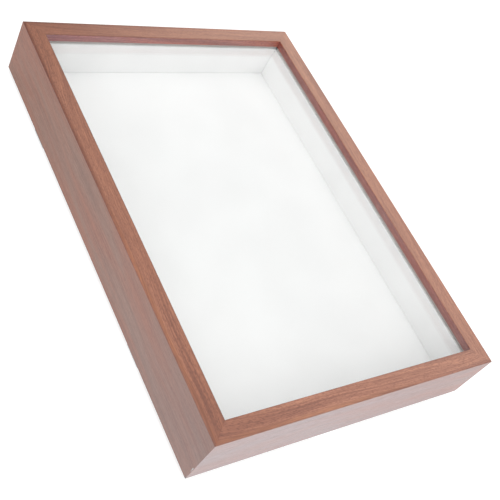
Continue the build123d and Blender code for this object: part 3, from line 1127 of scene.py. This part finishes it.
class CASE_OT_make_turn_buttons(bpy.types.Operator):
    """Makes the six zinc-plated turn buttons"""

    bl_idname = "case.make_turn_buttons"
    bl_label = "Make turn buttons"

    def execute(self, context):
        settings = context.scene.case_back
        zinc = plated_steel("zinc_plate", tuple(settings.zinc), roughness=0.30)
        for hinge in HINGES:
            name = hinge["child"]
            mesh = turn_button_mesh(hinge, settings)
            new_piece(f"zinc_{name}", mesh, [zinc], name, [name])
        return {"FINISHED"}


# ---------------- round-headed fasteners
FASTENER_TREE = "Round-headed fasteners"
FASTENER_LENGTHS = (
    "Head Radius", "Head Height", "Rim Height", "Shank Radius", "Shank Length",
    "Recess Length", "Recess Width", "Recess Depth",
)
FASTENER_SEED = 7
ROUND_SIDES = 32
DOME_RINGS = 16
# The dome's radius as a share of the head's, and how far into the rim the shank goes
DOME_SHARE = 0.98
SHANK_ROOT_SHARE = 0.25
# A cutter's width, in head radii
CUTTER_WIDTH = 4.0
# One arm of the cross recess is a hair deeper than the other. Each bar is half above the head
RECESS_ARMS = (("Recess Length", "Recess Width", 2.0), ("Recess Width", "Recess Length", 2.06))


def fastener_tree():
    """Screws and nails: a domed head, a shank and an optional cross recess, one on each point.

    The head hangs below the point and the shank stands above it.
    """
    tree = bpy.data.node_groups.new(FASTENER_TREE, "GeometryNodeTree")
    sockets = [("Points", "NodeSocketGeometry")]
    sockets += [(name, "NodeSocketFloat") for name in FASTENER_LENGTHS]
    sockets += [("Seed", "NodeSocketInt"), ("Finish", "NodeSocketMaterial")]
    for name, kind in sockets:
        socket = tree.interface.new_socket(name=name, in_out="INPUT", socket_type=kind)
        if kind == "NodeSocketFloat":
            socket.subtype = "DISTANCE"
    tree.interface.new_socket(name="Fasteners", in_out="OUTPUT", socket_type="NodeSocketGeometry")
    w = Wiring(tree)
    given = w.add("NodeGroupInput").outputs
    end = w.add("NodeGroupOutput").inputs
    head_radius, head_height, rim_height = (given[name] for name in FASTENER_LENGTHS[:3])
    shank_length, recess_depth = given["Shank Length"], given["Recess Depth"]

    def moved(geometry, height, scale=(1.0, 1.0, 1.0)):
        sockets = {"Geometry": geometry, "Translation": w.vector(0.0, 0.0, height), "Scale": scale}
        return w.add("GeometryNodeTransform", sockets).outputs[0]

    def cylinder(radius, depth, height):
        sockets = {"Vertices": ROUND_SIDES, "Radius": radius, "Depth": depth}
        return moved(w.add("GeometryNodeMeshCylinder", sockets).outputs["Mesh"], height)

    def block(x, y, z, height):
        return moved(w.add("GeometryNodeMeshCube", {"Size": w.vector(x, y, z)}).outputs["Mesh"], height)

    def joined(operation, cutters, body=None):
        node = w.add("GeometryNodeMeshBoolean", operation=operation, solver="EXACT")
        if body:
            tree.links.new(body, node.inputs["Mesh 1"])
        for cutter in cutters:
            tree.links.new(cutter, node.inputs["Mesh 2"])
        return node.outputs["Mesh"]

    half_rim = w.times(rim_height, -0.5)
    rim = cylinder(head_radius, rim_height, half_rim)
    ball = w.add("GeometryNodeMeshUVSphere", {"Segments": ROUND_SIDES, "Rings": DOME_RINGS, "Radius": 1.0})
    dome_height = w.math("SUBTRACT", head_height, rim_height)
    dome_radius = w.times(head_radius, DOME_SHARE)
    dome_size = w.vector(dome_radius, dome_radius, dome_height)
    dome = moved(ball.outputs["Mesh"], w.times(rim_height, -1.0), dome_size)
    # the ball's upper half would stand through the seat, so it is cut off inside the rim
    wide = w.times(head_radius, CUTTER_WIDTH)
    upper_half = block(wide, wide, w.times(dome_height, 2.0), w.math("ADD", half_rim, dome_height))
    dome = joined("DIFFERENCE", [upper_half], dome)
    # the shank starts a little way inside the rim
    root = w.times(rim_height, SHANK_ROOT_SHARE)
    shank_middle = w.times(w.math("SUBTRACT", shank_length, root), 0.5)
    shank = cylinder(given["Shank Radius"], w.math("ADD", shank_length, root), shank_middle)
    head = joined("UNION", [rim, dome, shank])

    # the cross recess is cut up into the head from its top
    cut = head
    top = w.times(head_height, -1.0)
    for x, y, depths in RECESS_ARMS:
        bar = block(given[x], given[y], w.times(recess_depth, depths), top)
        cut = joined("DIFFERENCE", [bar], cut)
    has_recess = w.math("GREATER_THAN", recess_depth, 0.0)
    sockets = {"Switch": has_recess, "False": head, "True": cut}
    chosen = w.add("GeometryNodeSwitch", sockets, input_type="GEOMETRY").outputs[0]

    # every fastener was driven to its own angle
    turn = w.add("FunctionNodeRandomValue", {"Seed": given["Seed"]}, data_type="FLOAT_VECTOR")
    turn.inputs["Min"].default_value = (0.0, 0.0, 0.0)
    turn.inputs["Max"].default_value = (0.0, 0.0, math.pi / 2)
    sockets = {"Points": given["Points"], "Instance": chosen, "Rotation": turn.outputs["Value"]}
    placed = w.add("GeometryNodeInstanceOnPoints", sockets).outputs["Instances"]
    real = w.add("GeometryNodeRealizeInstances", {"Geometry": placed}).outputs[0]
    finished = w.add("GeometryNodeSetMaterial", {"Geometry": real, "Material": given["Finish"]})
    w.feed(end["Fasteners"], finished.outputs[0])
    return tree


def fasteners(name, places, sizes, finish, body, replaced):
    """Stands one fastener on each place and keeps the result as a plain mesh."""
    tree = bpy.data.node_groups.get(FASTENER_TREE) or fastener_tree()
    points = bpy.data.meshes.new(name + "_points")
    points.from_pydata([tuple(place) for place in places], [], [])
    helper = loose_object(name + "_points", points)
    modifier = helper.modifiers.new("fasteners", "NODES")
    modifier.node_group = tree
    values = {**dict(zip(FASTENER_LENGTHS, sizes)), "Seed": FASTENER_SEED, "Finish": finish}
    for item in tree.interface.items_tree:
        if item.in_out == "INPUT" and item.name in values:
            modifier[item.identifier] = values[item.name]
    mesh = taken_mesh(helper, name)
    tidy_shell(mesh)
    return new_piece(name, mesh, [finish], body, [replaced])


SCREW_HEAD_RADIUS = 2.7 * MM
SCREW_HEAD_HEIGHT = 1.7 * MM
# Length, width and depth of the cross recess
SCREW_RECESS = (3.0 * MM, 0.7 * MM, 0.9 * MM)
NO_RECESS = (0.0, 0.0, 0.0)
NAIL_RIM_SHARE = 0.4
HANGER_HOLE_INSET = 3.0 * MM


class CASE_OT_make_fasteners(bpy.types.Operator):
    """Makes the turn-button screws and the hanger nails"""

    bl_idname = "case.make_fasteners"
    bl_label = "Make fasteners"

    def execute(self, context):
        settings = context.scene.case_back
        seat = SCREW_LOW.z + SCREW_HEAD_HEIGHT
        places = [(hinge["pos_m"][0], hinge["pos_m"][1], seat) for hinge in HINGES]
        sizes = (
            SCREW_HEAD_RADIUS, SCREW_HEAD_HEIGHT, settings.screw_rim, SCREW_SHANK, SCREW_HIGH.z - seat,
            *SCREW_RECESS,
        )
        zinc = bpy.data.materials["zinc_plate"]
        fasteners(
            "turn_button_pan_screws", places, sizes, zinc, FRAME_BODY, "turn_button_screws"
        )

        nail_low, nail_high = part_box("hanger_nails")
        height = settings.nail_head_height
        seat = nail_low.z + height
        boxes = [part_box(hanger) for hanger in HANGERS]
        places = [(*spot, seat) for box in boxes for spot in points_from_ends(*box, HANGER_HOLE_INSET)]
        sizes = (
            settings.nail_head, height, height * NAIL_RIM_SHARE, settings.nail_shank, nail_high.z - seat,
            *NO_RECESS,
        )
        brass = bpy.data.materials["brass_plate"]
        fasteners(
            "hanger_round_nails", places, sizes, brass, BACK_BODY, "hanger_nails"
        )
        return {"FINISHED"}


# ---------------- stage
WHITE = (1.0, 1.0, 1.0)
FLOOR_HALF = 4.0
FLOOR_COLOUR = (0.47, 0.47, 0.47)
FLOOR_GLOW = 0.68
# The floor's glow in glossy surfaces is a soft pool in front of the case
POOL_MIDDLE = (-0.10, -0.25, 0.0)
POOL_EDGE = (0.0, 0.45)
POOL_GLOW = 0.75
# The sky's light: a band low on one side and a wide soft patch above, over a dim ground level.
# Each edge is the cosine of the angle from that part's middle at which it starts and ends.
BAND_WAY = (0.966, 0.259, 0.0)
BAND_EDGE = (0.50, 0.72)
BAND_HEIGHT = (0.60, 0.78)
PATCH_EDGE = (0.32, 0.96)
# The camera's own right and up
CAMERA_RIGHT = Vector((0.79901, -0.42382, 0.42656))
CAMERA_UP = Vector((0.11886, 0.80670, 0.57888))
SENSOR_WIDTH = 36.0
CLIP_START = 0.01


def seen_directly(path):
    """The rays that show the background: the camera's own, and those through glass."""
    return path["Is Camera Ray"], path["Is Transmission Ray"]


def white_sky(settings):
    """A white sky: plain white where it is seen directly, a band and a patch where it lights."""
    world = bpy.data.worlds.new("white_sky")
    world.use_nodes = True
    world.node_tree.nodes.clear()
    w = Wiring(world.node_tree)
    path = w.add("ShaderNodeLightPath").outputs
    direction = w.add("ShaderNodeTexCoord").outputs["Generated"]
    rise = w.add("ShaderNodeSeparateXYZ", {"Vector": direction}).outputs["Z"]

    def towards(way):
        sockets = {0: direction, 1: tuple(Vector(way).normalized())}
        return w.add("ShaderNodeVectorMath", sockets, operation="DOT_PRODUCT").outputs["Value"]

    low = w.step(rise, *BAND_HEIGHT, 1.0, 0.0)
    band = w.times(w.step(towards(BAND_WAY), *BAND_EDGE), low)
    band = w.times(band, settings.band)
    patch = w.step(towards(settings.patch_way), *PATCH_EDGE, settings.ground, settings.patch)
    light = w.math("MAXIMUM", band, patch)
    level = w.math("MAXIMUM", light, w.math("MAXIMUM", *seen_directly(path)))
    sky = w.add("ShaderNodeBackground", {"Color": WHITE, "Strength": level})
    w.add("ShaderNodeOutputWorld", {"Surface": sky.outputs[0]})
    bpy.context.scene.world = world


def floor_finish():
    """Pale floor that is seen as white and keeps a soft shadow."""
    material, w, shader = surface("white_floor")
    w.feed(shader.inputs["Base Color"], FLOOR_COLOUR)
    shader.inputs["Roughness"].default_value = 1.0
    shader.inputs["Specular IOR Level"].default_value = 0.0
    path = w.add("ShaderNodeLightPath").outputs
    direct = w.times(w.math("MAXIMUM", *seen_directly(path)), FLOOR_GLOW)
    pool = w.step(w.distance(w.object_vector(), POOL_MIDDLE), *POOL_EDGE, POOL_GLOW, 0.0)
    level = w.math("MAXIMUM", direct, w.times(path["Is Glossy Ray"], pool))
    glow = w.add("ShaderNodeEmission", {"Color": WHITE, "Strength": level})
    w.show(w.add("ShaderNodeAddShader", {0: shader.outputs[0], 1: glow.outputs[0]}).outputs[0])
    return material


class CASE_OT_set_stage(bpy.types.Operator):
    """Sets the white floor, the soft light and the camera"""

    bl_idname = "case.set_stage"
    bl_label = "Set stage"

    def execute(self, context):
        settings = context.scene.case_stage
        mesh = bpy.data.meshes.new("floor")
        corners = [(-1, -1), (1, -1), (1, 1), (-1, 1)]
        mesh.from_pydata([(x * FLOOR_HALF, y * FLOOR_HALF, 0.0) for x, y in corners], [], [(0, 1, 2, 3)])
        mesh.materials.append(floor_finish())
        loose_object("floor", mesh)
        white_sky(settings)

        camera_data = bpy.data.cameras.new("camera")
        camera_data.lens = settings.camera_lens
        camera_data.sensor_width = SENSOR_WIDTH
        camera_data.clip_start = CLIP_START
        camera = loose_object("camera", camera_data)
        camera.location = settings.camera_place
        axes = Matrix((CAMERA_RIGHT, CAMERA_UP, CAMERA_RIGHT.cross(CAMERA_UP)))
        camera.rotation_euler = axes.transposed().to_euler()
        context.scene.camera = camera
        context.scene.view_settings.view_transform = "Standard"
        return {"FINISHED"}


# ---------------- panel and running
OPERATORS = (
    CASE_OT_set_stage,
    CASE_OT_make_rails,
    CASE_OT_dress_corner_nails,
    CASE_OT_dress_glazing,
    CASE_OT_make_lining,
    CASE_OT_dress_back,
    CASE_OT_make_turn_buttons,
    CASE_OT_make_fasteners,
)


class CASE_PT_builder(bpy.types.Panel):
    """Buttons for each step and the sizes and colours they use"""

    bl_label = "Display case"
    bl_idname = "CASE_PT_builder"
    bl_space_type = "VIEW_3D"
    bl_region_type = "UI"
    bl_category = "Display case"

    def draw(self, context):
        for operator in OPERATORS:
            self.layout.operator(operator.bl_idname)
        for name, group in SETTINGS.items():
            box = self.layout.box()
            for key in group.__annotations__:
                box.prop(getattr(context.scene, name), key)


CLASSES = (*SETTINGS.values(), *OPERATORS, CASE_PT_builder)


def register():
    for item in CLASSES:
        bpy.utils.register_class(item)
    for name, group in SETTINGS.items():
        setattr(bpy.types.Scene, name, PointerProperty(type=group))


def unregister():
    for name in SETTINGS:
        delattr(bpy.types.Scene, name)
    for item in reversed(CLASSES):
        bpy.utils.unregister_class(item)


def main():
    register()
    for operator in OPERATORS:
        category, name = operator.bl_idname.split(".")
        getattr(getattr(bpy.ops, category), name)()


if __name__ == "__main__":
    main()
